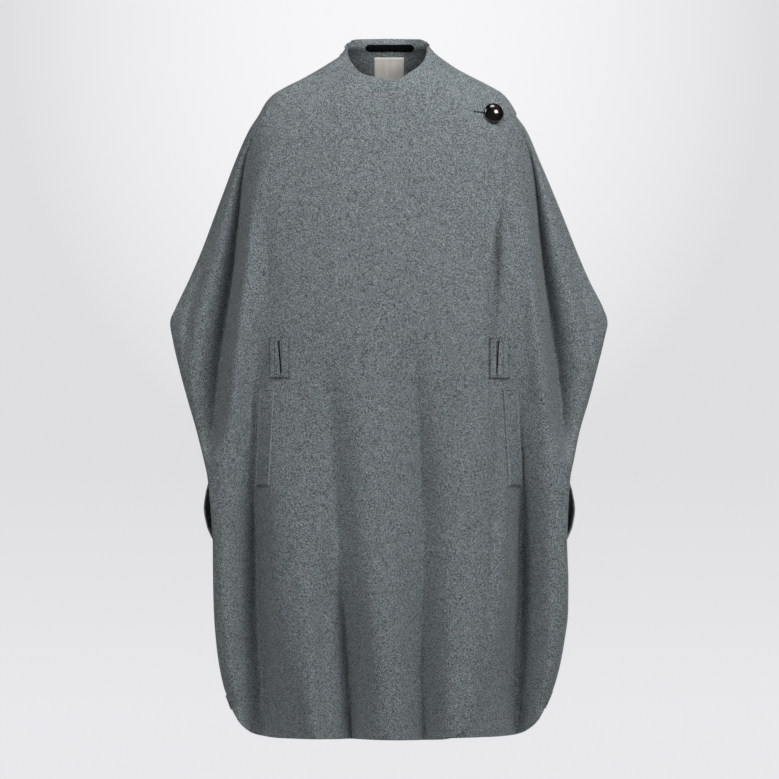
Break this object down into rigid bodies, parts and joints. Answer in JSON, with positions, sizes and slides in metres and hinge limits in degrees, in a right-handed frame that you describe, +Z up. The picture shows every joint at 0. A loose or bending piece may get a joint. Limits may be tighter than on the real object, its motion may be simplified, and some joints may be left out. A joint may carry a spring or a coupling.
{
  "type": "wool cape coat",
  "caption": "Hollow worn-form cape coat with a grown-on funnel neck, crossed front, open arm slits, belt slots, welt pockets and a domed shank button at the shoulder.",
  "frame": {"origin": "middle of the neck base, between the shoulders that carry the coat", "axes": "+Z up; the front faces -Y; +X is the wearer's left, the side of the shoulder button"},
  "size_m": [0.7008, 0.2637, 1.1187],
  "materials": {
    "wool": "felted melange wool coating, matt with a short nap",
    "tape": "black woven tape",
    "label": "plain pale twill, bare",
    "horn": "polished dark horn"
  },
  "bodies": {
    "root": {"front_over": "wool", "front_under": "wool", "back_left": "wool", "back_right": "wool", "slot_patch_left": "wool", "slot_patch_right": "wool", "welt_left": "wool", "welt_right": "wool", "hanger_tape": "tape", "neck_label": "label", "button": "horn"}
  },
  "joints": []
}
